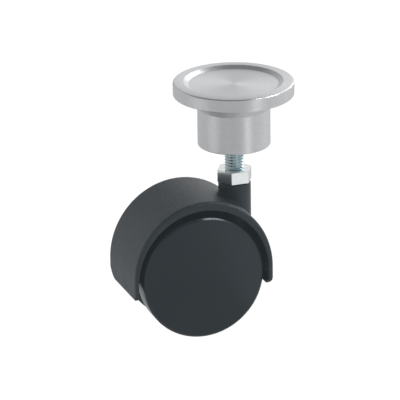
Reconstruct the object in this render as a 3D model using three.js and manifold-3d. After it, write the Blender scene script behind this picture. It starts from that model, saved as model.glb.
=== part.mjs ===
// Hooded twin-wheel furniture castor on a round adapter plate.
// Millimetres, +Z up. The swivel axis is the Z axis and the origin is the middle of the plate's recess
// floor. The axle runs along Y, the castor rolls towards +X and its wheels trail on the -X side.

import * as THREE from 'three';
import { mergeVertices } from 'three/addons/utils/BufferGeometryUtils.js';
import Module from 'manifold-3d';

const wasm = await Module();
wasm.setup();

// ---------------------------------------------------------------- driving dimensions

const TURN = 2 * Math.PI;
const ROUND = 48;              // sides of a large turned piece
const SMALL_ROUND = 24;        // sides of a pin, a bush or a washer
const FIT = 0.05;              // gap between pieces that touch or run on each other
const OVERRUN = 1;             // how far a cutting tool passes the face it cuts

// adapter plate
const PLATE_R = 25;
const PLATE_THICK = 5.7;
const PLATE_BREAK = 0.4;       // chamfer on the plate's edges
const RECESS_DEPTH = 1.15;
const RECESS_TOP_R = 20.55;
const RECESS_FLOOR_R = 18.5;
const CONE_R = 20.5;           // where the cone under the plate starts
const BOSS_R = 15.05;
const PLATE_HEIGHT = 27.25;    // ring face to boss end
const TAP_R = 4.1;
const TAP_TOP = -5.5;          // end of the full-width tapped hole
const TAP_POINT = -3.5;        // tip of its drill cone
const TAP_LEAD = 0.6;

// M8 stem with its hexagon collar and pivot pin
const THREAD_R = 3.97;
const THREAD_ROOT_R = 3.23;
const PITCH = 1.25;
const THREAD_LENGTH = 20;
const THREAD_LEAD = 0.8;       // chamfer on the thread's tip
const THREAD_SIDES = 10;       // steps in one turn
const HEX_TOP = -36.78;
const HEX_HEIGHT = 5.2;
const HEX_FLATS = 13;
const HEX_ANGLE = -88;         // direction of one flat, in degrees from +X
const PIN_R = 3.4;
const PIN_END = -65;
const GROOVE_R = 2.7;
const GROOVE_TOP = -60.6;
const GROOVE_WIDTH = 1.4;
const RING_R = 4.3;
const RING_GAP = 60;           // opening of the retaining ring, in degrees

// stem boss of the housing and what is inside it
const STEM_BOSS_R = 6.75;
const STEM_BOSS_TOP = -42.35;
const STEM_BOSS_EDGE = 0.8;
const STEM_BOSS_END = -69.5;
const COUNTERBORE_R = 6;
const COUNTERBORE_FLOOR = -44.15;
const BUSH_R = 4.95;
const BUSH_BORE_R = 3.5;
const BUSH_FLANGE = 1;
const BUSH_LENGTH = 7.5;
const WASHER_THICK = 0.9;
const BORE_R = 5;
const BORE_END = -66.5;

// axle, hood and web
const AXLE_X = -19.6;
const AXLE_Z = -76.8;
const AXLE_R = 3;
const AXLE_HALF = 14.6;
const HOOD_REACH = 30.1;       // half length of the hood's outer curve
const HOOD_RISE = 31.55;       // its height above its own centre
const HOOD_AHEAD = 0.25;       // that centre, in front of and above the axle
const HOOD_ABOVE = 1.3;
const HOOD_INNER_REACH = 28.25;
const HOOD_INNER_RISE = 29.3;
const HOOD_HALF = 17.25;
const FRONT_SKIRT = 5.75;      // axle down to the front end's lip
const REAR_SKIRT = 6.45;       // axle down to the back end
const SKIRT_CORNER = 2.5;      // rounding of the front end's outer corner
const LIP_REACH = 26.7;        // axle to the tip of the front end's lip
const LIP_THICK = 1.2;
const HOOD_BREAK = 0.4;        // chamfer on the hood's side edges
const WEB_HALF = 3.5;
const WEB_SKIRT = 4.3;         // axle down to the web's lower edge
const HUB_R = 8;
const HUB_HALF = 6.9;

// wheels
const WHEEL_R = 26;
const WHEEL_INNER = 7.6;       // inner side of a wheel, from the middle plane
const WHEEL_FACE = 17.25;
const WHEEL_BREAK = 0.9;
const RIM_R = 23.3;
const WHEEL_WEB_IN = 11.5;
const WHEEL_WEB_OUT = 13.5;
const WHEEL_HUB_R = 7.5;
const HUB_BORE_R = 4.3;
const COVER_R = 24.3;
const COVER_THICK = 2.05;
const COVER_SEAT_R = 24.45;
const SPACER_R = 6;
const CLIP_R = 6.3;
const CLIP_THICK = 0.6;

const RING_TOP = RECESS_DEPTH;
const BOSS_END = RING_TOP - PLATE_HEIGHT;
const HEX_END = HEX_TOP - HEX_HEIGHT;
const COVER_BACK = WHEEL_FACE - COVER_THICK;

// ---------------------------------------------------------------- materials

function material(color, roughness, metalness) {
  return () => new THREE.MeshStandardMaterial({ color, roughness, metalness });
}

const aluminium = material(0xc4c6c8, 0.35, 1);
const zincSteel = material(0xb9c2c4, 0.3, 1);
const springSteel = material(0x6f7274, 0.4, 1);
const hoodPlastic = material(0x2b2f31, 0.65, 0);
const wheelPlastic = material(0x24282a, 0.45, 0);
const acetal = material(0x1d1f20, 0.5, 0);

// ---------------------------------------------------------------- helpers

// A turned solid about Y. The profile holds [radius, height] points in counter-clockwise order: it
// starts and ends on the axis, or closes on itself when ring is true.
function turnedY(profile, { sides = ROUND, ring = false } = {}) {
  const outline = ring ? [...profile, profile[0]] : profile;
  const points = outline.map(([r, h]) => new THREE.Vector2(r, h));
  return new THREE.LatheGeometry(points, sides);
}

// The same about Z, for pieces on the swivel axis.
function turnedZ(profile, options) {
  return turnedY(profile, options).rotateX(Math.PI / 2);
}

// A plain ring between two radii and two heights.
function ringProfile(innerR, outerR, low, high) {
  return [[innerR, low], [outerR, low], [outerR, high], [innerR, high]];
}

// A plain disc from the axis out to a radius.
function discProfile(radius, low, high) {
  return [[0, low], [radius, low], [radius, high], [0, high]];
}

// An XZ outline given as a Shape, made solid from -half to +half along Y.
function plateXZ(shape, half, bevel = 0) {
  const geometry = new THREE.ExtrudeGeometry(shape, {
    depth: 2 * (half - bevel),
    bevelEnabled: bevel > 0,
    bevelThickness: bevel,
    bevelSize: bevel,
    bevelOffset: -bevel,
    bevelSegments: 1,
    curveSegments: SMALL_ROUND,
  });
  return geometry.translate(0, 0, bevel - half).rotateX(Math.PI / 2);
}

// Between a BufferGeometry and a manifold solid, for joins and cuts.
function solid(geometry) {
  const bare = geometry.clone();
  bare.deleteAttribute('normal');
  bare.deleteAttribute('uv');
  const merged = mergeVertices(bare, 1e-5);
  return new wasm.Manifold(new wasm.Mesh({
    numProp: 3,
    vertProperties: Float32Array.from(merged.attributes.position.array),
    triVerts: Uint32Array.from(merged.index.array),
  }));
}

function geometryOf(manifold) {
  const mesh = manifold.getMesh();
  const geometry = new THREE.BufferGeometry();
  geometry.setAttribute('position', new THREE.BufferAttribute(mesh.vertProperties, mesh.numProp));
  geometry.setIndex(new THREE.BufferAttribute(mesh.triVerts, 1));
  geometry.computeVertexNormals();
  return geometry;
}

function joined(...geometries) {
  return geometries.map(solid).reduce((all, next) => all.add(next));
}

function named(name, geometry, look) {
  const mesh = new THREE.Mesh(geometry, look());
  mesh.name = name;
  return mesh;
}

// ---------------------------------------------------------------- adapter plate

function adapterPlate() {
  const underside = RING_TOP - PLATE_THICK;
  const coneEnd = underside - (CONE_R - BOSS_R);
  return turnedZ([
    [0, TAP_POINT],
    [TAP_R, TAP_TOP],
    [TAP_R, BOSS_END + TAP_LEAD],
    [TAP_R + TAP_LEAD, BOSS_END],
    [BOSS_R - PLATE_BREAK, BOSS_END],
    [BOSS_R, BOSS_END + PLATE_BREAK],
    [BOSS_R, coneEnd],
    [CONE_R, underside],
    [PLATE_R - PLATE_BREAK, underside],
    [PLATE_R, underside + PLATE_BREAK],
    [PLATE_R, RING_TOP - PLATE_BREAK],
    [PLATE_R - PLATE_BREAK, RING_TOP],
    [RECESS_TOP_R, RING_TOP],
    [RECESS_FLOOR_R, 0],
    [0, 0],
  ]);
}

// ---------------------------------------------------------------- threaded stem

// A right-hand thread with flat roots and crests and 60 degree flanks. Each turn repeats four points
// of the profile, every point runs up its own helix, and a fan to the axis closes each end.
function helicalThread(from, turns) {
  const flank = (THREAD_R - THREAD_ROOT_R) * Math.tan(Math.PI / 6);
  const crest = PITCH / 8;
  const profile = [
    [THREAD_ROOT_R, 0],
    [THREAD_ROOT_R, PITCH - crest - 2 * flank],
    [THREAD_R, PITCH - crest - flank],
    [THREAD_R, PITCH - flank],
  ];
  const steps = turns * THREAD_SIDES;
  const positions = [];
  for (let step = 0; step <= steps; step += 1) {
    const angle = step / THREAD_SIDES * TURN;
    const rise = from + step / THREAD_SIDES * PITCH;
    for (const [r, h] of profile) {
      positions.push(r * Math.cos(angle), r * Math.sin(angle), rise + h);
    }
  }
  const foot = 4 * (steps + 1);
  const head = foot + 1;
  positions.push(0, 0, from - PITCH, 0, 0, from + (turns + 2) * PITCH);

  // The point after the last one of a turn is the first one a whole turn further up.
  const at = (point, step) => (point < 4 ? 4 * step + point : 4 * (step + THREAD_SIDES));
  const index = [];
  for (let step = 0; step < steps; step += 1) {
    const strips = step < steps - THREAD_SIDES ? 4 : 3;
    for (let point = 0; point < strips; point += 1) {
      index.push(at(point, step), at(point, step + 1), at(point + 1, step + 1));
      index.push(at(point, step), at(point + 1, step + 1), at(point + 1, step));
    }
  }
  for (let step = 0; step < THREAD_SIDES; step += 1) {
    const top = steps - THREAD_SIDES + step;
    index.push(foot, at(0, step + 1), at(0, step));
    index.push(head, at(3, top), at(3, top + 1));
  }
  for (let point = 0; point < 3; point += 1) {
    index.push(foot, at(point, 0), at(point + 1, 0));
    index.push(head, at(point + 1, steps), at(point, steps));
  }
  index.push(foot, at(3, 0), at(0, THREAD_SIDES));
  index.push(head, at(0, steps), at(3, steps - THREAD_SIDES));

  const geometry = new THREE.BufferGeometry();
  geometry.setAttribute('position', new THREE.Float32BufferAttribute(positions, 3));
  geometry.setIndex(index);
  return geometry;
}

// The thread from inside the hexagon up to its chamfered tip.
function thread() {
  const tip = HEX_TOP + THREAD_LENGTH;
  const low = HEX_TOP - HEX_HEIGHT / 2;
  const envelope = turnedZ([
    [0, low],
    [THREAD_R + OVERRUN, low],
    [THREAD_R + OVERRUN, tip - THREAD_LEAD - OVERRUN],
    [THREAD_R - THREAD_LEAD, tip],
    [0, tip],
  ], { sides: THREAD_SIDES });
  const turns = Math.ceil(THREAD_LENGTH / PITCH) + 1;
  return solid(helicalThread(HEX_TOP - PITCH, turns)).intersect(solid(envelope));
}

function threadedStem() {
  const hexagon = new THREE.CylinderGeometry(
    HEX_FLATS / Math.sqrt(3), HEX_FLATS / Math.sqrt(3), HEX_HEIGHT, 6,
  ).rotateX(Math.PI / 2).rotateZ(THREE.MathUtils.degToRad(HEX_ANGLE));
  hexagon.translate(0, 0, HEX_TOP - HEX_HEIGHT / 2);
  const grooveEnd = GROOVE_TOP - GROOVE_WIDTH;
  const pin = turnedZ([
    [0, PIN_END],
    [PIN_R - 1, PIN_END],
    [PIN_R, PIN_END + 1],
    [PIN_R, grooveEnd],
    [GROOVE_R, grooveEnd],
    [GROOVE_R, GROOVE_TOP],
    [PIN_R, GROOVE_TOP],
    [PIN_R, HEX_END + OVERRUN],
    [0, HEX_END + OVERRUN],
  ], { sides: SMALL_ROUND });
  return geometryOf(joined(hexagon, pin).add(thread()));
}

// An open spring ring that sits in the pin's groove.
function retainingRing() {
  const half = THREE.MathUtils.degToRad(RING_GAP / 2);
  const shape = new THREE.Shape();
  shape.absarc(0, 0, RING_R, half, TURN - half, false);
  shape.absarc(0, 0, GROOVE_R + FIT, TURN - half, half, true);
  const height = GROOVE_WIDTH - 2 * FIT;
  const geometry = new THREE.ExtrudeGeometry(shape, {
    depth: height,
    bevelEnabled: false,
    curveSegments: SMALL_ROUND / 2,
  });
  return geometry.translate(0, 0, GROOVE_TOP - GROOVE_WIDTH + FIT);
}

// ---------------------------------------------------------------- stem bearing

function thrustWasher() {
  const high = HEX_END - FIT;
  const profile = ringProfile(BUSH_BORE_R, COUNTERBORE_R - 2 * FIT, high - WASHER_THICK, high);
  return turnedZ(profile, { sides: SMALL_ROUND, ring: true });
}

function upperBush() {
  const flangeTop = COUNTERBORE_FLOOR + FIT + BUSH_FLANGE;
  return turnedZ([
    [BUSH_BORE_R, flangeTop - BUSH_LENGTH],
    [BUSH_R - FIT, flangeTop - BUSH_LENGTH],
    [BUSH_R - FIT, COUNTERBORE_FLOOR + FIT],
    [COUNTERBORE_R - 2 * FIT, COUNTERBORE_FLOOR + FIT],
    [COUNTERBORE_R - 2 * FIT, flangeTop],
    [BUSH_BORE_R, flangeTop],
  ], { sides: SMALL_ROUND, ring: true });
}

function lowerBush() {
  const low = GROOVE_TOP + FIT;
  const profile = ringProfile(BUSH_BORE_R, BUSH_R - FIT, low, low + BUSH_LENGTH);
  return turnedZ(profile, { sides: SMALL_ROUND, ring: true });
}

// ---------------------------------------------------------------- housing

// The hood's wall in the XZ plane, about the axle: half an ellipse on straight skirts. The front end
// turns inwards in a thin lip.
function archShape() {
  const front = HOOD_AHEAD + HOOD_REACH;
  const back = HOOD_AHEAD - HOOD_REACH;
  const shape = new THREE.Shape();
  shape.absellipse(HOOD_AHEAD, HOOD_ABOVE, HOOD_REACH, HOOD_RISE, 0, Math.PI, false);
  shape.lineTo(back, -REAR_SKIRT);
  shape.lineTo(-HOOD_INNER_REACH, -REAR_SKIRT);
  shape.absellipse(0, 0, HOOD_INNER_REACH, HOOD_INNER_RISE, Math.PI, 0, true);
  shape.lineTo(HOOD_INNER_REACH, LIP_THICK - FRONT_SKIRT);
  shape.lineTo(LIP_REACH, LIP_THICK - FRONT_SKIRT);
  shape.lineTo(LIP_REACH, -FRONT_SKIRT);
  shape.absarc(front - SKIRT_CORNER, SKIRT_CORNER - FRONT_SKIRT, SKIRT_CORNER, -Math.PI / 2, 0);
  return shape;
}

// The middle web fills the arch down to just above its ends.
function webShape() {
  const reach = (HOOD_REACH + HOOD_INNER_REACH) / 2;
  const shape = new THREE.Shape();
  shape.absellipse(0, 0, reach, (HOOD_RISE + HOOD_INNER_RISE) / 2, 0, Math.PI, false);
  shape.lineTo(-reach, -WEB_SKIRT);
  shape.lineTo(reach, -WEB_SKIRT);
  return shape;
}

function housing() {
  const arch = plateXZ(archShape(), HOOD_HALF, HOOD_BREAK);
  const web = plateXZ(webShape(), WEB_HALF);
  const hub = turnedY(discProfile(HUB_R, -HUB_HALF, HUB_HALF), { sides: SMALL_ROUND });
  for (const piece of [arch, web, hub]) {
    piece.translate(AXLE_X, 0, AXLE_Z);
  }
  const stemBoss = turnedZ([
    [0, STEM_BOSS_END],
    [STEM_BOSS_R, STEM_BOSS_END],
    [STEM_BOSS_R, STEM_BOSS_TOP - STEM_BOSS_EDGE],
    [STEM_BOSS_R - STEM_BOSS_EDGE, STEM_BOSS_TOP],
    [0, STEM_BOSS_TOP],
  ], { sides: SMALL_ROUND });
  const stemBore = turnedZ([
    [0, BORE_END],
    [BORE_R, BORE_END],
    [BORE_R, COUNTERBORE_FLOOR],
    [COUNTERBORE_R, COUNTERBORE_FLOOR],
    [COUNTERBORE_R, STEM_BOSS_TOP + OVERRUN],
    [0, STEM_BOSS_TOP + OVERRUN],
  ], { sides: SMALL_ROUND });
  const axleBore = turnedY(
    discProfile(AXLE_R + FIT, -HUB_HALF - OVERRUN, HUB_HALF + OVERRUN), { sides: SMALL_ROUND },
  ).translate(AXLE_X, 0, AXLE_Z);
  return geometryOf(
    joined(arch, web, hub, stemBoss).subtract(solid(stemBore)).subtract(solid(axleBore)),
  );
}

// ---------------------------------------------------------------- axle and wheels

function axle() {
  return turnedY([
    [0, -AXLE_HALF],
    [AXLE_R - 0.5, -AXLE_HALF],
    [AXLE_R, 0.5 - AXLE_HALF],
    [AXLE_R, AXLE_HALF - 0.5],
    [AXLE_R - 0.5, AXLE_HALF],
    [0, AXLE_HALF],
  ], { sides: SMALL_ROUND });
}

function spacerWasher() {
  const profile = ringProfile(AXLE_R + 2 * FIT, SPACER_R, HUB_HALF + FIT, WHEEL_INNER - FIT);
  return turnedY(profile, { sides: SMALL_ROUND, ring: true });
}

function axleClip() {
  const low = WHEEL_WEB_OUT + 2 * FIT;
  const profile = ringProfile(AXLE_R + FIT, CLIP_R, low, low + CLIP_THICK);
  return turnedY(profile, { sides: SMALL_ROUND, ring: true });
}

function hubBush() {
  const low = WHEEL_INNER + FIT;
  const profile = ringProfile(AXLE_R + 2 * FIT, HUB_BORE_R - FIT, low, WHEEL_WEB_OUT - FIT);
  return turnedY(profile, { sides: SMALL_ROUND, ring: true });
}

function wheel() {
  return turnedY([
    [HUB_BORE_R, WHEEL_INNER],
    [WHEEL_HUB_R, WHEEL_INNER],
    [WHEEL_HUB_R, WHEEL_WEB_IN],
    [RIM_R, WHEEL_WEB_IN],
    [RIM_R, WHEEL_INNER],
    [WHEEL_R - WHEEL_BREAK, WHEEL_INNER],
    [WHEEL_R, WHEEL_INNER + WHEEL_BREAK],
    [WHEEL_R, WHEEL_FACE - WHEEL_BREAK],
    [WHEEL_R - WHEEL_BREAK, WHEEL_FACE],
    [COVER_SEAT_R, WHEEL_FACE],
    [COVER_SEAT_R, COVER_BACK - 2 * FIT],
    [RIM_R, COVER_BACK - 2 * FIT],
    [RIM_R, WHEEL_WEB_OUT],
    [HUB_BORE_R, WHEEL_WEB_OUT],
  ], { ring: true });
}

function wheelCover() {
  return turnedY(discProfile(COVER_R, COVER_BACK, WHEEL_FACE));
}

// Everything on one end of the axle. side is +1 for the left (+Y) wheel and -1 for the right one,
// which is the same set turned half way round about Z.
function wheelSet(label, side) {
  const set = new THREE.Group();
  set.add(named(`spacer_washer_${label}`, spacerWasher(), acetal));
  set.add(named(`hub_bush_${label}`, hubBush(), acetal));
  set.add(named(`wheel_${label}`, wheel(), wheelPlastic));
  set.add(named(`axle_clip_${label}`, axleClip(), springSteel));
  set.add(named(`wheel_cover_${label}`, wheelCover(), wheelPlastic));
  set.position.set(AXLE_X, 0, AXLE_Z);
  set.rotation.z = side > 0 ? 0 : Math.PI;
  return set;
}

// ---------------------------------------------------------------- assembly

const group = new THREE.Group();
group.name = 'furniture_castor';
group.add(named('adapter_plate', adapterPlate(), aluminium));
group.add(named('threaded_stem', threadedStem(), zincSteel));
group.add(named('retaining_ring', retainingRing(), springSteel));
group.add(named('thrust_washer', thrustWasher(), acetal));
group.add(named('upper_bush', upperBush(), acetal));
group.add(named('lower_bush', lowerBush(), acetal));
group.add(named('housing', housing(), hoodPlastic));

const axleMesh = named('axle', axle(), zincSteel);
axleMesh.position.set(AXLE_X, 0, AXLE_Z);
group.add(axleMesh);
group.add(wheelSet('left', 1), wheelSet('right', -1));

export default group;
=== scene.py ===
"""Looks of a hooded furniture castor with a round aluminium adapter plate.

Lengths are millimetres in the castor's own frame, +Z up, until a mesh is made, which is in metres. The
swivel axis is the Z axis, the axle runs along Y, and the wheels trail on the -X side.
"""

import math

import bmesh
import bpy
import numpy as np
from mathutils import Matrix, Vector


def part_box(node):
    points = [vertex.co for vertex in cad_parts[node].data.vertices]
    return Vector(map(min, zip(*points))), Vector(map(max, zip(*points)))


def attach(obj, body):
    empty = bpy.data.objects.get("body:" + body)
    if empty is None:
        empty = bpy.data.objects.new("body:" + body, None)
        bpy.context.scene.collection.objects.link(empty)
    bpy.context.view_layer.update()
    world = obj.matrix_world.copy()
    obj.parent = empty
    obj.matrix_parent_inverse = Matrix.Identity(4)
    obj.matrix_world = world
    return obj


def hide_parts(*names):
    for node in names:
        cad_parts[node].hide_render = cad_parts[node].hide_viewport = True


MM = 0.001

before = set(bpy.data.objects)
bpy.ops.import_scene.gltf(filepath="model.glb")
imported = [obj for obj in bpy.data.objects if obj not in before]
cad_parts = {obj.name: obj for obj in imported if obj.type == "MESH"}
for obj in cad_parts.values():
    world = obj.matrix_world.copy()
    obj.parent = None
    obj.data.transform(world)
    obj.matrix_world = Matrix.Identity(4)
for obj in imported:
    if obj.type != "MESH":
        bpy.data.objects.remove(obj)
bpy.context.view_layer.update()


def cad(node):
    """The lowest and highest corners of a CAD node, in millimetres."""
    low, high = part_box(node)
    return low / MM, high / MM


# ---------------------------------------------------------------- sizes read from the frame

plate_low, plate_high = cad("adapter_plate")
stem_low, stem_high = cad("threaded_stem")
housing_low, housing_high = cad("housing")
axle_low, axle_high = cad("axle")
wheel_low, wheel_high = cad("wheel_left")
cover_low, cover_high = cad("wheel_cover_left")
hub_bush_low, hub_bush_high = cad("hub_bush_left")
spacer_low, spacer_high = cad("spacer_washer_left")
clip_low, clip_high = cad("axle_clip_left")
washer_low, washer_high = cad("thrust_washer")
upper_bush_low, upper_bush_high = cad("upper_bush")
lower_bush_low, lower_bush_high = cad("lower_bush")
ring_low, ring_high = cad("retaining_ring")

AXLE_X = (axle_low.x + axle_high.x) / 2
AXLE_Z = (axle_low.z + axle_high.z) / 2
AXLE_R = (axle_high.x - axle_low.x) / 2
FLOOR_Z = min(wheel_low.z, housing_low.z)

# adapter plate
PLATE_R = plate_high.x
RING_TOP = plate_high.z
BOSS_END = plate_low.z
PLATE_THICK = 5.7
RING_DROP = 0.13
RECESS_TOP_R = 20.55
RECESS_FLOOR_R = 18.5
CONE_R = 20.5
BOSS_R = 15.05
TAP_TOP = -5.5
TAP_POINT = -3.5
TAP_LEAD = 0.6
TAP_RUNOUT = 0.3

# stem
THREAD_R = 3.97
THREAD_ROOT_R = 3.23
THREAD_PLAY = 0.13
PITCH = 1.25
HEX_TOP = -36.78
HEX_HEIGHT = 5.2
HEX_FLATS = 13
HEX_ANGLE = math.radians(-88)
HEX_EDGE = 0.12
THREAD_POINT = 0.85
PIN_R = 3.4
GROOVE_R = 2.7
GROOVE_TOP = -60.6
GROOVE_WIDTH = 1.4
BUSH_BORE_R = 3.5
BUSH_R = 4.9

# housing
HOOD_REACH = (housing_high.x - housing_low.x) / 2
HOOD_RISE = 31.55
HOOD_AHEAD = (housing_high.x + housing_low.x) / 2 - AXLE_X
HOOD_ABOVE = 1.3
HOOD_INNER_REACH = 28.25
HOOD_INNER_RISE = 29.3
HOOD_HALF = housing_high.y
FRONT_SKIRT = 5.75
REAR_SKIRT = 6.45
REAR_CORNER_FAR = 8
REAR_CORNER_NEAR = 2
SKIRT_CORNER = 2.5
LIP_REACH = 26.7
LIP_THICK = 1.2
SIDE_EDGE = 1.4
WEB_HALF = 3.5
WEB_SKIRT = 4.3
HUB_R = 8
HUB_HALF = 6.9
STEM_BOSS_R = 6.75
STEM_BOSS_EDGE = 0.7
BOSS_FILLET = 0.3
ROOT_FILLET = 1.2
MOULDED_EDGE = 0.3
HOUSING_CELL = 0.42
STEM_BOSS_TOP = housing_high.z
STEM_BOSS_END = -69.5
STEM_BORE_R = 5
STEM_BORE_END = -66.5
COUNTERBORE_R = 6
COUNTERBORE_FLOOR = -44.15

# wheels
WHEEL_R = (wheel_high.x - wheel_low.x) / 2
WHEEL_INNER = wheel_low.y
WHEEL_FACE = wheel_high.y
WHEEL_CHAMFER = 0.92
CHAMFER_EDGE = 0.3
RIM_R = 23.3
WHEEL_WEB_IN = 11.5
WHEEL_WEB_OUT = 13.5
WHEEL_HUB_R = 7.5
HUB_BORE_R = 4.3
COVER_SEAT_R = 24.45
COVER_R = COVER_SEAT_R - 0.02
RIB_COUNT = 8
RIB_HALF = 0.6

# camera: where it stands, seen from the point it aims at, and its lens
CAMERA_AZIMUTH = math.radians(18.988)
CAMERA_ELEVATION = math.radians(20.024)
CAMERA_ROLL = math.radians(-0.751)
CAMERA_DISTANCE = 2000
CAMERA_AIM = (-17.568, -6.955, -46.323)
CAMERA_LENS = 437.785
SENSOR_WIDTH = 36

# studio
# how bright the floor looks in a reflection, by its bearing in degrees from the swivel axis
FLOOR_GLOW = (
    (-180, 0.68), (-166, 0.62), (-150, 0.49), (-108, 0.475), (-88, 0.50), (-79, 0.56), (-71, 0.82),
    (-64, 0.88), (-56, 0.70), (-46, 0.58), (-25, 0.62), (11, 0.70), (43, 0.60), (104, 0.54), (126, 0.54),
    (155, 0.53), (180, 0.68),
)
# how bright the room is low down, by the same bearing, and overhead
SKY_GLOW = (
    (-180, 0.50), (-90, 0.60), (0, 0.82), (40, 0.90), (60, 0.88), (72, 0.82), (82, 0.58), (93, 0.44),
    (108, 0.56), (122, 0.68), (180, 0.50),
)
SKY_HIGH = 0.2
SKY_LOW_UP_TO, SKY_HIGH_FROM = 0.38, 0.8
WHITE_SEEN = 1.05
FLOOR_HALF = 6000
FLOOR_GAP = 0.05
LIGHT_TARGET = (-10, 0, -50)
VEIL = (0.0150, 0.0190, 0.0220)

# the bluish tint of what the moulded plastics reflect
PLASTIC_TINT = (0.84, 0.93, 1.0)


# ---------------------------------------------------------------- mesh helpers


def mesh_object(name, vertices, faces, sharp=30):
    """An object from points in millimetres: doubles merged, faces turned out, shaded smooth."""
    mesh = bpy.data.meshes.new(name)
    mesh.from_pydata((np.asarray(vertices, float) * MM).tolist(), [], faces)
    work = bmesh.new()
    work.from_mesh(mesh)
    bmesh.ops.remove_doubles(work, verts=work.verts, dist=1e-7)
    bmesh.ops.dissolve_degenerate(work, edges=work.edges, dist=1e-8)
    bmesh.ops.recalc_face_normals(work, faces=work.faces)
    work.to_mesh(mesh)
    work.free()
    mesh.shade_smooth()
    mesh.set_sharp_from_angle(angle=math.radians(sharp))
    made = bpy.data.objects.new(name, mesh)
    bpy.context.scene.collection.objects.link(made)
    return made


def joined(name, pieces, sharp=30):
    """One object that holds the meshes of several."""
    whole = bmesh.new()
    for piece in pieces:
        whole.from_mesh(piece.data)
        bpy.data.objects.remove(piece)
    mesh = bpy.data.meshes.new(name)
    whole.to_mesh(mesh)
    whole.free()
    mesh.shade_smooth()
    mesh.set_sharp_from_angle(angle=math.radians(sharp))
    made = bpy.data.objects.new(name, mesh)
    bpy.context.scene.collection.objects.link(made)
    return made


def rounded(corners, closed=False, steps=6):
    """A profile of (radius, height) points from (radius, height, rounding) corners."""
    count = len(corners)
    points = []
    for i, (r, h, rounding) in enumerate(corners):
        here = np.array((r, h), float)
        at_end = not closed and i in (0, count - 1)
        if rounding == 0 or at_end:
            points.append(tuple(here))
            continue
        back = np.array(corners[i - 1][:2], float) - here
        ahead = np.array(corners[(i + 1) % count][:2], float) - here
        back_length, ahead_length = np.linalg.norm(back), np.linalg.norm(ahead)
        back /= back_length
        ahead /= ahead_length
        half_angle = math.acos(float(np.clip(back @ ahead, -1, 1))) / 2
        reach = min(rounding / math.tan(half_angle), 0.49 * back_length, 0.49 * ahead_length)
        radius = reach * math.tan(half_angle)
        middle = back + ahead
        middle /= np.linalg.norm(middle)
        centre = here + middle * radius / math.sin(half_angle)
        first = here + back * reach - centre
        last = here + ahead * reach - centre
        start = math.atan2(first[1], first[0])
        sweep = math.atan2(last[1], last[0]) - start
        sweep = (sweep + math.pi) % (2 * math.pi) - math.pi
        for step in range(steps + 1):
            angle = start + sweep * step / steps
            points.append((centre[0] + radius * math.cos(angle), centre[1] + radius * math.sin(angle)))
    return points


def revolved(name, profile, axis="Z", side=1, closed=False, columns=160, radius_at=None, sharp=30):
    """A turned piece. About Z its height is z, and about Y, on the axle, its height is y times side.

    radius_at(radius, height, angle) may change the radius from one angle to the next, as on a thread.
    """
    rows = np.array(profile, float)
    angles = np.arange(columns) * 2 * math.pi / columns
    radius = np.repeat(rows[:, :1], columns, axis=1)
    height = np.repeat(rows[:, 1:2], columns, axis=1)
    if radius_at:
        radius = radius_at(radius, height, angles[None, :])
    across, along = radius * np.cos(angles), radius * np.sin(angles)
    if axis == "Z":
        grid = np.stack([across, along, height], axis=-1)
    else:
        grid = np.stack([AXLE_X + across, height * side, AXLE_Z + along], axis=-1)
    faces = []
    last = len(rows) if closed else len(rows) - 1
    for row in range(last):
        low, high = row * columns, (row + 1) % len(rows) * columns
        for column in range(columns):
            beside = (column + 1) % columns
            faces.append((low + column, low + beside, high + beside, high + column))
    return mesh_object(name, grid.reshape(-1, 3), faces, sharp)


def plain_ring(name, inner, outer, low, high, rounding=0.12, **options):
    """A washer or bush: a rectangular section turned round an axis, its edges broken."""
    corners = [(inner, low), (outer, low), (outer, high), (inner, high)]
    return revolved(name, rounded([(r, h, rounding) for r, h in corners], closed=True, steps=3),
                    closed=True, columns=96, **options)


# ---------------------------------------------------------------- solids from a distance field


def smooth_union(a, b, blend):
    share = np.clip(0.5 + 0.5 * (b - a) / blend, 0, 1)
    return b * (1 - share) + a * share - blend * share * (1 - share)


def rounded_solid(outline, along, rounding):
    """Distance to the solid inside both the outline and the ends along an axis, edges rounded."""
    a, b = outline + rounding, along + rounding
    return np.minimum(np.maximum(a, b), 0) + np.hypot(np.maximum(a, 0), np.maximum(b, 0)) - rounding


def gradient(field, points, step=0.02):
    """The field's unit direction of increase at each point."""
    slopes = []
    for axis in range(3):
        shift = np.zeros(3)
        shift[axis] = step
        slopes.append(field(points + shift) - field(points - shift))
    slopes = np.stack(slopes, axis=-1)
    return slopes / np.maximum(np.linalg.norm(slopes, axis=1, keepdims=True), 1e-9)


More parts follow.
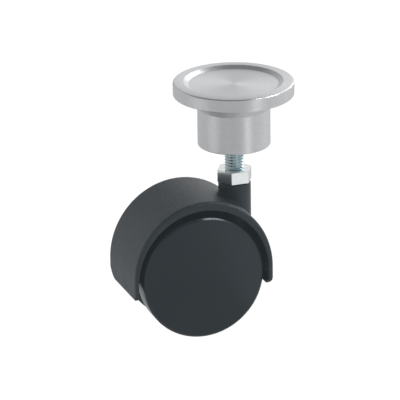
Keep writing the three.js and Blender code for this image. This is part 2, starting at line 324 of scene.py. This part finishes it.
def field_object(name, field, low, high, cell):
    """Meshes the surface where a distance field is zero, by surface nets on a regular grid."""
    shape = np.ceil((np.array(high) - np.array(low)) / cell).astype(int) + 1
    axes = [low[k] + cell * np.arange(shape[k]) for k in range(3)]
    nodes = np.stack(np.meshgrid(*axes, indexing="ij"), axis=-1).reshape(-1, 3)
    values = field(nodes).reshape(shape)
    inside = values < 0
    cells = tuple(shape - 1)
    total = np.zeros((int(np.prod(cells)), 3))
    count = np.zeros(int(np.prod(cells)))
    quads = []
    for axis in range(3):
        ahead = np.zeros(3, int)
        ahead[axis] = 1
        near = inside[tuple(slice(0, n - a) for n, a in zip(shape, ahead))]
        far = inside[tuple(slice(a, n) for n, a in zip(shape, ahead))]
        start = np.argwhere(near != far)
        end = start + ahead
        v0, v1 = values[tuple(start.T)], values[tuple(end.T)]
        crossing = start + (v0 / (v0 - v1))[:, None] * ahead
        u, v = np.zeros(3, int), np.zeros(3, int)
        u[(axis + 1) % 3] = 1
        v[(axis + 2) % 3] = 1
        around = [np.ravel_multi_index((start - shift).T, cells) for shift in (0 * u, u, u + v, v)]
        for corner in around:
            np.add.at(total, corner, crossing)
            np.add.at(count, corner, 1)
        ring = np.stack(around, axis=1)
        quads.append(np.where(inside[tuple(start.T)][:, None], ring, ring[:, ::-1]))
    quads = np.concatenate(quads)
    used = np.flatnonzero(count)
    renumber = np.full(len(count), -1)
    renumber[used] = np.arange(len(used))
    points = np.array(low) + cell * total[used] / count[used][:, None]
    for _ in range(3):
        step = np.clip(field(points), -cell / 3, cell / 3)
        points = points - step[:, None] * gradient(field, points)
    return mesh_object(name, points, renumber[quads].tolist(), sharp=50)


# ---------------------------------------------------------------- materials


class Nodes:
    """A material's node tree with short calls to add and join nodes."""

    def __init__(self, name):
        self.material = bpy.data.materials.new(name)
        self.material.use_nodes = True
        self.tree = self.material.node_tree
        self.shader = self.tree.nodes["Principled BSDF"]
        coordinates = self.add("ShaderNodeTexCoord")
        self.place = coordinates.outputs["Object"]

    def add(self, kind, **settings):
        node = self.tree.nodes.new(kind)
        for key, value in settings.items():
            setattr(node, key, value)
        return node

    def link(self, source, target):
        self.tree.links.new(source, target)

    def math(self, operation, first, second=0.0):
        node = self.add("ShaderNodeMath", operation=operation)
        for socket, value in zip(node.inputs, (first, second)):
            if isinstance(value, (int, float)):
                socket.default_value = value
            else:
                self.link(value, socket)
        return node.outputs[0]

    def noise(self, scale, vector=None, detail=2.0, roughness=0.5):
        node = self.add("ShaderNodeTexNoise")
        node.inputs["Scale"].default_value = scale
        node.inputs["Detail"].default_value = detail
        node.inputs["Roughness"].default_value = roughness
        self.link(vector or self.place, node.inputs["Vector"])
        return node.outputs["Fac"]

    def ramp(self, source, low, high, low_at=0.3, high_at=0.7):
        """Maps a 0 to 1 value to the range from low to high."""
        node = self.add("ShaderNodeMapRange")
        node.inputs["From Min"].default_value = low_at
        node.inputs["From Max"].default_value = high_at
        node.inputs["To Min"].default_value = low
        node.inputs["To Max"].default_value = high
        self.link(source, node.inputs["Value"])
        return node.outputs["Result"]

    def colours(self, source, dark, light, low_at=0.3, high_at=0.7):
        node = self.add("ShaderNodeValToRGB")
        for element, at, colour in zip(node.color_ramp.elements, (low_at, high_at), (dark, light)):
            element.position = at
            element.color = (*colour, 1)
        self.link(source, node.inputs["Fac"])
        return node.outputs["Color"]

    def bump(self, source, distance, strength=1.0):
        node = self.add("ShaderNodeBump")
        node.inputs["Strength"].default_value = strength
        node.inputs["Distance"].default_value = distance
        self.link(source, node.inputs["Height"])
        self.link(node.outputs["Normal"], self.shader.inputs["Normal"])

    def set(self, **values):
        for name, value in values.items():
            self.shader.inputs[name.replace("_", " ")].default_value = value

    def feed(self, **sources):
        for name, source in sources.items():
            self.link(source, self.shader.inputs[name.replace("_", " ")])


def turned_metal(name, dark, light, roughness, groove):
    """Satin metal with the fine rings a lathe leaves, round the Z axis."""
    made = Nodes(name)
    split = made.add("ShaderNodeSeparateXYZ")
    made.link(made.place, split.inputs[0])
    x, y, z = split.outputs
    squares = made.math("ADD", made.math("MULTIPLY", x, x), made.math("MULTIPLY", y, y))
    radius = made.math("SQRT", squares)
    ring = made.add("ShaderNodeCombineXYZ")
    made.link(radius, ring.inputs[0])
    made.link(z, ring.inputs[1])
    streak = made.add("ShaderNodeVectorMath", operation="MULTIPLY_ADD")
    made.link(made.place, streak.inputs[0])
    streak.inputs[1].default_value = (0.22, 0.22, 0.0)
    made.link(ring.outputs[0], streak.inputs[2])
    grooves = made.noise(3600, streak.outputs[0], detail=3.0, roughness=0.7)
    broad = made.noise(700, detail=4.0, roughness=0.7)
    made.set(Metallic=1.0, Anisotropic=0.6, Anisotropic_Rotation=0.25)
    tangent = made.add("ShaderNodeTangent", direction_type="RADIAL", axis="Z")
    made.feed(
        Base_Color=made.colours(broad, dark, light),
        Roughness=made.ramp(grooves, roughness - 0.04, roughness + 0.05),
        Tangent=tangent.outputs[0],
    )
    made.bump(grooves, groove * MM, 0.35)
    return made.material


def zinc_plate(name, dark, light, roughness):
    made = Nodes(name)
    cloud = made.noise(260, detail=3.0)
    fine = made.noise(1900, detail=2.0)
    made.set(Metallic=1.0)
    made.feed(
        Base_Color=made.colours(cloud, dark, light),
        Roughness=made.ramp(cloud, roughness, roughness + 0.08),
    )
    made.bump(fine, 0.01 * MM, 0.3)
    return made.material


def spring_steel(name):
    made = Nodes(name)
    cloud = made.noise(500, detail=3.0)
    made.set(Metallic=1.0)
    made.feed(
        Base_Color=made.colours(cloud, (0.16, 0.165, 0.17), (0.26, 0.265, 0.27)),
        Roughness=made.ramp(cloud, 0.3, 0.45),
    )
    made.bump(cloud, 0.01 * MM, 0.3)
    return made.material


def moulded_plastic(name, dark, light, roughness, grain, depth, specular=0.5, tint=(1, 1, 1)):
    """Black moulded plastic: a fine grain in the surface and a faint unevenness in its colour."""
    made = Nodes(name)
    cloud = made.noise(90, detail=3.0)
    texture = made.noise(1000 / grain, detail=3.0, roughness=0.6)
    made.set(Specular_IOR_Level=specular, Specular_Tint=(*tint, 1))
    made.feed(
        Base_Color=made.colours(cloud, dark, light),
        Roughness=made.ramp(texture, roughness - 0.05, roughness + 0.06),
    )
    made.bump(texture, depth * MM, 0.6)
    return made.material


ALUMINIUM = turned_metal(
    "turned_aluminium", (0.70, 0.71, 0.72), (0.77, 0.78, 0.79), roughness=0.3, groove=0.02)
# the cone under the disc gets a rougher copy of the aluminium with a slightly darker colour: the rougher
# finish is real, the darker colour is painted shade under the disc's overhang
ROUGH_SHADED_ALUMINIUM = turned_metal(
    "rough_turned_aluminium_painted_shade", (0.66, 0.67, 0.68), (0.74, 0.75, 0.76), roughness=0.55, groove=0.03)
# one zinc finish in two copies: the darker one, on the thread and the axle, is darkened as painted
# shade, and the brighter one, on the hexagon, is a painted highlight
SHADE_DARKENED_ZINC = zinc_plate(
    "zinc_steel_painted_shade", (0.42, 0.54, 0.58), (0.66, 0.75, 0.77), roughness=0.1)
HEX_HIGHLIGHT_ZINC = zinc_plate(
    "zinc_steel_painted_highlight", (0.80, 0.83, 0.84), (0.92, 0.94, 0.94), roughness=0.05)
SPRING = spring_steel("spring_steel")
HOOD_PLASTIC = moulded_plastic(
    "textured_black_nylon", (0.0115, 0.014, 0.016), (0.018, 0.0215, 0.0245),
    roughness=0.36, grain=0.8, depth=0.6, specular=0.5, tint=PLASTIC_TINT)
WHEEL_PLASTIC = moulded_plastic(
    "satin_black_nylon", (0.010, 0.0125, 0.0145), (0.013, 0.0155, 0.0175),
    roughness=0.17, grain=0.5, depth=0.006, specular=0.4, tint=PLASTIC_TINT)
ACETAL = moulded_plastic(
    "black_acetal", (0.010, 0.011, 0.012), (0.014, 0.015, 0.016),
    roughness=0.4, grain=0.6, depth=0.01)


def finished(piece, node, body, material):
    """Gives a piece its material, hides the CAD part it stands in for and hangs it on the body it rides
    on.
    """
    piece.data.materials.clear()
    piece.data.materials.append(material)
    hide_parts(node)
    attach(piece, body)
    return piece


# ---------------------------------------------------------------- the M8 thread


def thread_radius(height, angle):
    """The screw's surface: a right-hand helix with flat crests, flat roots and 60 degree flanks."""
    flank = (THREAD_R - THREAD_ROOT_R) * math.tan(math.pi / 6)
    crest = PITCH / 8
    turns = (height - HEX_TOP) / PITCH - angle / (2 * math.pi)
    from_crest = np.abs((turns + (crest / 2 + flank) / PITCH) % 1 - 0.5) * PITCH
    from_crest = PITCH / 2 - from_crest
    drop = np.clip((from_crest - crest / 2) / flank, 0, 1)
    return THREAD_R - (THREAD_R - THREAD_ROOT_R) * drop


# ---------------------------------------------------------------- adapter plate


def adapter_plate():
    underside = RING_TOP - PLATE_THICK
    cone_end = underside - (CONE_R - BOSS_R)
    tap_r = THREAD_ROOT_R + THREAD_PLAY
    thread_rows = [(tap_r, h, 0) for h in np.arange(TAP_TOP - TAP_RUNOUT, BOSS_END + 0.9, -PITCH / 10)]
    corners = [
        (0, TAP_POINT, 0),
        (tap_r, TAP_TOP, 0),
        *thread_rows,
        (THREAD_R + THREAD_PLAY, BOSS_END + TAP_LEAD, 0),
        (THREAD_R + THREAD_PLAY + TAP_LEAD, BOSS_END, 0.1),
        (BOSS_R, BOSS_END, 0.5),
        (BOSS_R, cone_end, 0.25),
        (CONE_R, underside, 0.3),
        (PLATE_R, underside, 0.5),
        (PLATE_R, RING_TOP - RING_DROP, 0.8),
        (RECESS_TOP_R, RING_TOP, 0.15),
        (RECESS_FLOOR_R, 0, 0.5),
        (0, 0, 0),
    ]
    bore_top, bore_end = TAP_TOP - 0.2, BOSS_END + 0.8

    def bore(radius, height, angle):
        threaded = (radius < THREAD_R) & (height < bore_top) & (height > bore_end)
        return np.where(threaded, thread_radius(height, angle) + THREAD_PLAY, radius)

    piece = revolved("adapter_plate_turned", rounded(corners), columns=192, radius_at=bore)
    finished(piece, "adapter_plate", "plate", ALUMINIUM)
    piece.data.materials.append(ROUGH_SHADED_ALUMINIUM)
    # the cone under the disc takes the rougher copy, whose darker colour is painted shade under the
    # overhang
    for face in piece.data.polygons:
        x, y, z = face.center / MM
        if cone_end - 0.2 < z < underside - 0.3 and math.hypot(x, y) > BOSS_R + 0.05:
            face.material_index = 1
    return piece


# ---------------------------------------------------------------- stem


def stem_thread():
    tip = stem_high.z
    low = HEX_TOP - 1
    rows = [(THREAD_R, h) for h in np.arange(low, tip, PITCH / 14)]
    profile = [(0, low), *rows, (THREAD_R, tip), (0, tip)]

    def cut(radius, height, angle):
        point = THREAD_R - THREAD_POINT + (tip - height)
        return np.where(radius > 0, np.minimum(thread_radius(height, angle), point), 0)

    return revolved("thread", profile, columns=64, radius_at=cut, sharp=60)


def stem_hexagon():
    """The collar that a 13 mm spanner turns, with broken edges."""
    corner = HEX_FLATS / math.sqrt(3)
    half_corner = 0.012
    rings = [
        (corner - HEX_EDGE, HEX_TOP - HEX_HEIGHT),
        (corner, HEX_TOP - HEX_HEIGHT + HEX_EDGE),
        (corner, HEX_TOP - HEX_EDGE),
        (corner - HEX_EDGE, HEX_TOP),
    ]
    angles = []
    for k in range(6):
        middle = HEX_ANGLE + math.radians(30 + 60 * k)
        angles += [middle - half_corner, middle + half_corner]
    vertices = [(r * math.cos(a), r * math.sin(a), h) for r, h in rings for a in angles]
    faces = [tuple(range(12)), tuple(range(36, 48))]
    for row in range(3):
        for k in range(12):
            low = 12 * row
            faces.append((low + k, low + (k + 1) % 12, low + 12 + (k + 1) % 12, low + 12 + k))
    return mesh_object("hexagon", vertices, faces, sharp=10)


def stem_pin():
    groove_end = GROOVE_TOP - GROOVE_WIDTH
    corners = [
        (0, stem_low.z, 0),
        (PIN_R, stem_low.z, 0.9),
        (PIN_R, groove_end, 0.1),
        (GROOVE_R, groove_end, 0.1),
        (GROOVE_R, GROOVE_TOP, 0.1),
        (PIN_R, GROOVE_TOP, 0.1),
        (PIN_R, HEX_TOP - HEX_HEIGHT + 1, 0),
        (0, HEX_TOP - HEX_HEIGHT + 1, 0),
    ]
    return revolved("pin", rounded(corners, steps=4), columns=96)


def threaded_stem():
    pieces = [stem_thread(), stem_hexagon(), stem_pin()]
    hexagon_start = len(pieces[0].data.polygons)
    hexagon_end = hexagon_start + len(pieces[1].data.polygons)
    piece = joined("threaded_stem_turned", pieces, sharp=20)
    finished(piece, "threaded_stem", "stem", SHADE_DARKENED_ZINC)
    # the hexagon takes the brighter zinc, a painted highlight, and the thread keeps the darker zinc,
    # painted shade
    piece.data.materials.append(HEX_HIGHLIGHT_ZINC)
    for face in piece.data.polygons[hexagon_start:hexagon_end]:
        face.material_index = 1
    return piece


def retaining_ring():
    """An open spring ring with rounded ends, in the pin's groove."""
    inner, outer = GROOVE_R + 0.05, ring_high.y
    middle, half = (inner + outer) / 2, (outer - inner) / 2
    opening = math.radians(30)

    def field(points):
        x, y, z = points.T
        angle = np.abs(np.arctan2(y, x))
        end = np.hypot(x - middle * math.cos(opening), np.abs(y) - middle * math.sin(opening))
        band = np.where(angle < opening, end, np.abs(np.hypot(x, y) - middle)) - half
        along = np.abs(z - (ring_low.z + ring_high.z) / 2) - (ring_high.z - ring_low.z) / 2
        return rounded_solid(band, along, 0.15)

    reach = outer + 0.3
    low, high = (-reach, -reach, ring_low.z - 0.3), (reach, reach, ring_high.z + 0.3)
    piece = field_object("retaining_ring_spring", field, low, high, 0.12)
    return finished(piece, "retaining_ring", "stem", SPRING)


def stem_bearing():
    """The washer and the two bushes that the pin turns in."""
    washer = plain_ring(
        "thrust_washer_moulded", BUSH_BORE_R, washer_high.x, washer_low.z, washer_high.z)
    finished(washer, "thrust_washer", "lift", ACETAL)
    flange = COUNTERBORE_FLOOR + 0.05
    corners = [
        (BUSH_BORE_R, upper_bush_low.z, 0.15),
        (BUSH_R, upper_bush_low.z, 0.15),
        (BUSH_R, flange, 0.1),
        (upper_bush_high.x, flange, 0.15),
        (upper_bush_high.x, upper_bush_high.z, 0.2),
        (BUSH_BORE_R, upper_bush_high.z, 0.2),
    ]
    upper = revolved(
        "upper_bush_moulded", rounded(corners, closed=True, steps=3), closed=True, columns=96)
    finished(upper, "upper_bush", "castor_body", ACETAL)
    lower = plain_ring(
        "lower_bush_moulded", BUSH_BORE_R, lower_bush_high.x, lower_bush_low.z, lower_bush_high.z)
    finished(lower, "lower_bush", "castor_body", ACETAL)


# ---------------------------------------------------------------- housing


def ellipse(x, z, reach, rise):
    """Distance to half an ellipse about the axle that stands on straight, upright skirts."""
    scaled = np.hypot(x / reach, z / rise)
    slope = np.maximum(np.hypot(x / reach ** 2, z / rise ** 2), 1e-6)
    return np.where(z > 0, scaled * (scaled - 1) / slope, np.abs(x) - reach)


def hood_outside(x, z):
    return ellipse(x - HOOD_AHEAD, z - HOOD_ABOVE, HOOD_REACH, HOOD_RISE)


def hood_outline(x, z):
    """Distance to the hood's wall in the XZ plane: its front end turns inwards in a thin lip."""
    outer = hood_outside(x, z)
    front = rounded_solid(outer, -z - FRONT_SKIRT, SKIRT_CORNER)
    rear = rounded_solid(outer, -z - REAR_SKIRT, 0.4)
    above_lip = LIP_THICK - FRONT_SKIRT - z
    opening = smooth_union(above_lip, x - LIP_REACH, 0.6)
    hollow = rounded_solid(ellipse(x, z, HOOD_INNER_REACH, HOOD_INNER_RISE), opening, 0.6)
    return rounded_solid(np.where(x > 0, front, rear), -hollow, 0.4)


def housing_field(points):
    """Distance to the moulding: hood, middle web, axle hub and stem boss, less the two bores."""
    px, py, pz = points.T
    x, z = px - AXLE_X, pz - AXLE_Z
    along = np.abs(py) - HOOD_HALF
    outside = hood_outside(x, z)
    dome = rounded_solid(outside, along, SIDE_EDGE)
    hood = np.maximum(rounded_solid(hood_outline(x, z), along, MOULDED_EDGE), dome)
    # the back end's lower corners
    low_edge = -z - REAR_SKIRT
    corners = np.where(
        py > 0, rounded_solid(low_edge, py - HOOD_HALF, REAR_CORNER_FAR),
        rounded_solid(low_edge, -py - HOOD_HALF, REAR_CORNER_NEAR))
    hood = np.where(x < 0, np.maximum(hood, corners), hood)

    middle_reach = (HOOD_REACH + HOOD_INNER_REACH) / 2
    middle = ellipse(x, z, middle_reach, (HOOD_RISE + HOOD_INNER_RISE) / 2)
    web = rounded_solid(np.maximum(middle, -z - WEB_SKIRT), np.abs(py) - WEB_HALF, MOULDED_EDGE)
    from_axle = np.hypot(x, z)
    hub = rounded_solid(from_axle - HUB_R, np.abs(py) - HUB_HALF, MOULDED_EDGE)
    from_swivel = np.hypot(px, py)
    ends = np.maximum(pz - STEM_BOSS_TOP, STEM_BOSS_END - pz)
    boss = rounded_solid(from_swivel - STEM_BOSS_R, ends, STEM_BOSS_EDGE)

    body = smooth_union(smooth_union(hood, web, ROOT_FILLET), hub, ROOT_FILLET)
    body = np.minimum(body, boss)
    # outside the hood a fillet runs round the foot of the boss
    filleted = smooth_union(dome, boss, BOSS_FILLET)
    body = np.where((outside > -1) & (z > 0), np.minimum(body, filleted), body)

    bore = np.where(pz > COUNTERBORE_FLOOR, from_swivel - COUNTERBORE_R, from_swivel - STEM_BORE_R)
    bore = np.maximum(bore, STEM_BORE_END - pz)
    axle_bore = from_axle - (AXLE_R + 0.05)
    return np.maximum(body, -np.minimum(bore, axle_bore))


def housing():
    margin = 1.0
    low = (housing_low.x - margin, housing_low.y - margin, housing_low.z - margin)
    high = (housing_high.x + margin, housing_high.y + margin, housing_high.z + margin)
    piece = field_object("housing_moulded", housing_field, low, high, HOUSING_CELL)
    return finished(piece, "housing", "castor_body", HOOD_PLASTIC)


# ---------------------------------------------------------------- axle and wheels


def axle():
    end = axle_high.y
    corners = [(0, -end, 0), (AXLE_R, -end, 0.5), (AXLE_R, end, 0.5), (0, end, 0)]
    piece = revolved("axle_ground", rounded(corners, steps=4), axis="Y", columns=96)
    # the axle shares the thread's darker zinc, whose darkness is painted shade
    return finished(piece, "axle", "castor_body", SHADE_DARKENED_ZINC)


def axle_clip(label, side):
    """A push-on nut: a thin ring whose inner edge is cut into teeth that grip the axle."""
    teeth = 6

    def toothed(radius, height, angle):
        notch = np.cos(teeth * angle) > 0.55
        inner = radius < AXLE_R + 1
        return np.where(inner & notch, radius + 0.9, radius)

    corners = [
        (AXLE_R + 0.05, clip_low.y, 0),
        (clip_high.x - AXLE_X, clip_low.y, 0.1),
        (clip_high.x - AXLE_X, clip_high.y, 0.1),
        (AXLE_R + 0.05, clip_high.y, 0),
    ]
    piece = revolved(
        f"axle_clip_{label}_pressed", rounded(corners, closed=True, steps=2),
        axis="Y", side=side, closed=True, columns=192, radius_at=toothed)
    return finished(piece, f"axle_clip_{label}", "castor_body", SPRING)


def rib(angle, side):
    """One stiffening rib on the wheel's inner side, from its hub to its rim."""
    inner, outer = WHEEL_HUB_R - 0.4, RIM_R + 0.4
    low, high = WHEEL_INNER + 1.6, WHEEL_WEB_IN + 0.2
    outward = np.array((math.cos(angle), 0, math.sin(angle)))
    across = np.array((-math.sin(angle), 0, math.cos(angle)))
    centre = np.array((AXLE_X, 0, AXLE_Z))
    vertices = []
    for height in (low, high):
        for reach, offset in ((inner, -1), (outer, -1), (outer, 1), (inner, 1)):
            point = centre + outward * reach + across * offset * RIB_HALF
            vertices.append(point + np.array((0, height * side, 0)))
    faces = [(0, 1, 2, 3), (4, 5, 6, 7), (0, 1, 5, 4), (1, 2, 6, 5), (2, 3, 7, 6), (3, 0, 4, 7)]
    return mesh_object("rib", vertices, faces)


def wheel(label, side):
    seat = cover_low.y - 0.1
    corners = [
        (HUB_BORE_R, WHEEL_INNER, 0.2),
        (WHEEL_HUB_R, WHEEL_INNER, 0.3),
        (WHEEL_HUB_R, WHEEL_WEB_IN, 0.8),
        (RIM_R, WHEEL_WEB_IN, 0.8),
        (RIM_R, WHEEL_INNER, 0.4),
        (WHEEL_R, WHEEL_INNER, 0.9),
        (WHEEL_R, WHEEL_FACE - WHEEL_CHAMFER, CHAMFER_EDGE),
        (WHEEL_R - WHEEL_CHAMFER, WHEEL_FACE, CHAMFER_EDGE),
        (COVER_SEAT_R, WHEEL_FACE, 0),
        (COVER_SEAT_R, seat, 0),
        (RIM_R, seat, 0.1),
        (RIM_R, WHEEL_WEB_OUT, 0.4),
        (HUB_BORE_R, WHEEL_WEB_OUT, 0.2),
    ]
    disc = revolved(
        "disc", rounded(corners, closed=True, steps=5), axis="Y", side=side, closed=True, columns=192)
    ribs = [rib(2 * math.pi * k / RIB_COUNT, side) for k in range(RIB_COUNT)]
    piece = joined(f"wheel_{label}_moulded", [disc, *ribs])
    return finished(piece, f"wheel_{label}", f"{label}_wheel", WHEEL_PLASTIC)


def wheel_cover(label, side):
    back, face = cover_low.y, cover_high.y
    corners = [(0, back, 0), (COVER_R, back, 0.2), (COVER_R, face, 0.02), (0, face, 0)]
    piece = revolved(
        f"wheel_cover_{label}_moulded", rounded(corners, steps=5), axis="Y", side=side, columns=192)
    return finished(piece, f"wheel_cover_{label}", f"{label}_wheel", WHEEL_PLASTIC)


def hub_bush(label, side):
    piece = plain_ring(
        f"hub_bush_{label}_moulded", AXLE_R + 0.1, hub_bush_high.x - AXLE_X,
        hub_bush_low.y, hub_bush_high.y, axis="Y", side=side)
    return finished(piece, f"hub_bush_{label}", f"{label}_wheel", ACETAL)


def spacer_washer(label, side):
    piece = plain_ring(
        f"spacer_washer_{label}_moulded", AXLE_R + 0.1, spacer_high.x - AXLE_X,
        spacer_low.y, spacer_high.y, axis="Y", side=side)
    return finished(piece, f"spacer_washer_{label}", "castor_body", ACETAL)


# ---------------------------------------------------------------- studio


def add_camera():
    """A long lens from the front and a little above, turned slightly about its own axis."""
    away = Vector((
        -math.sin(CAMERA_AZIMUTH) * math.cos(CAMERA_ELEVATION),
        -math.cos(CAMERA_AZIMUTH) * math.cos(CAMERA_ELEVATION),
        math.sin(CAMERA_ELEVATION),
    ))
    camera = bpy.data.cameras.new("camera")
    camera.lens = CAMERA_LENS
    camera.sensor_width = SENSOR_WIDTH
    camera.clip_start = 0.1
    camera.clip_end = 50
    holder = bpy.data.objects.new("camera", camera)
    turn = away.to_track_quat("Z", "Y").to_matrix().to_4x4()
    turn = turn @ Matrix.Rotation(CAMERA_ROLL, 4, "Z")
    place = Vector(CAMERA_AIM) * MM + away * (CAMERA_DISTANCE * MM)
    holder.matrix_world = Matrix.Translation(place) @ turn
    bpy.context.scene.collection.objects.link(holder)
    bpy.context.scene.camera = holder


def glow_by_bearing(tree, table):
    """A ramp whose factor runs once round the compass, from -180 to 180 degrees."""
    glow = tree.nodes.new("ShaderNodeValToRGB")
    stops = glow.color_ramp.elements
    for _ in range(len(table) - 2):
        stops.new(0.5)
    for stop, (degrees, value) in zip(stops, table):
        stop.position = (degrees + 180) / 360
        stop.color = (value, value, value, 1)
    return glow


def add_floor():
    half = FLOOR_HALF
    corners = [(-half, -half), (half, -half), (half, half), (-half, half)]
    vertices = [(x, y, FLOOR_Z - FLOOR_GAP) for x, y in corners]
    floor = mesh_object("floor", vertices, [(0, 1, 2, 3)])
    made = Nodes("pale_floor")
    made.set(Base_Color=(0, 0, 0, 1), Roughness=1.0, Specular_IOR_Level=0.0,
             Emission_Color=(1, 1, 1, 1))
    split = made.add("ShaderNodeSeparateXYZ")
    made.link(made.place, split.inputs[0])
    bearing = made.math("ARCTAN2", split.outputs[1], split.outputs[0])
    glow = glow_by_bearing(made.tree, FLOOR_GLOW)
    made.link(made.ramp(bearing, 0, 1, -math.pi, math.pi), glow.inputs["Fac"])
    seen = made.add("ShaderNodeLightPath").outputs["Is Camera Ray"]
    shown = made.add("ShaderNodeMix", data_type="FLOAT")
    made.link(seen, shown.inputs["Factor"])
    made.link(glow.outputs["Color"], shown.inputs["A"])
    shown.inputs["B"].default_value = WHITE_SEEN
    made.feed(Emission_Strength=shown.outputs["Result"])
    floor.data.materials.append(made.material)


def add_light(name, place, size, power, along=(0, 0, 1)):
    """A soft light that faces the castor, its second side laid along a direction.

    Its place and size are in metres and its power in watts.
    """
    light = bpy.data.lights.new(name, "AREA")
    light.shape = "RECTANGLE"
    light.size, light.size_y = size
    light.energy = power
    holder = bpy.data.objects.new(name, light)
    place = Vector(place)
    away = (place - Vector(LIGHT_TARGET) * MM).normalized()
    across = Vector(along).cross(away).normalized()
    turn = Matrix((across, away.cross(across), away)).transposed()
    holder.matrix_world = Matrix.Translation(place) @ turn.to_4x4()
    holder.visible_camera = False
    bpy.context.scene.collection.objects.link(holder)


def add_studio():
    """A white room with a tall window and a strip light.

    It is bright low down and behind to the right, and dark overhead.
    """
    world = bpy.data.worlds.new("studio")
    world.use_nodes = True
    tree = world.node_tree
    background = tree.nodes["Background"]
    background.inputs["Color"].default_value = (1, 1, 1, 1)

    def add(kind, *sources, **settings):
        node = tree.nodes.new(kind)
        for key, value in settings.items():
            setattr(node, key, value)
        for socket, source in zip(node.inputs, sources):
            if isinstance(source, bpy.types.NodeSocket):
                tree.links.new(source, socket)
            else:
                socket.default_value = source
        return node

    direction = tree.nodes.new("ShaderNodeTexCoord").outputs["Generated"]
    x, y, height = add("ShaderNodeSeparateXYZ", direction).outputs
    bearing = add("ShaderNodeMath", y, x, operation="ARCTAN2").outputs[0]
    low = glow_by_bearing(tree, SKY_GLOW)
    place = add("ShaderNodeMapRange", bearing, -math.pi, math.pi, 0.0, 1.0).outputs[0]
    tree.links.new(place, low.inputs["Fac"])
    glow = add(
        "ShaderNodeMapRange", height, SKY_LOW_UP_TO, SKY_HIGH_FROM, low.outputs["Color"], SKY_HIGH,
    ).outputs[0]
    seen = tree.nodes.new("ShaderNodeLightPath").outputs["Is Camera Ray"]
    strength = add("ShaderNodeMapRange", seen, 0.0, 1.0, glow, WHITE_SEEN).outputs[0]
    tree.links.new(strength, background.inputs["Strength"])
    bpy.context.scene.world = world
    add_light(
        "window_behind_right", place=(0.905, 0.735, 0.62), size=(0.38, 1.1), power=2.3)
    add_light(
        "strip_above_right", place=(0.798, -0.295, 1.01), size=(0.12, 0.93), power=5,
        along=(0.716, 0.389, -0.453))
    view = bpy.context.scene.view_settings
    view.view_transform = "Standard"
    # the white surroundings flare a little in the lens and lift the darkest tones
    view.use_curve_mapping = True
    view.curve_mapping.black_level = [-value for value in VEIL]
    view.curve_mapping.update()


# ---------------------------------------------------------------- assembly

add_camera()
add_floor()
add_studio()
adapter_plate()
threaded_stem()
retaining_ring()
stem_bearing()
housing()
axle()
for wheel_label, wheel_side in (("left", 1), ("right", -1)):
    wheel(wheel_label, wheel_side)
    wheel_cover(wheel_label, wheel_side)
    hub_bush(wheel_label, wheel_side)
    spacer_washer(wheel_label, wheel_side)
    axle_clip(wheel_label, wheel_side)
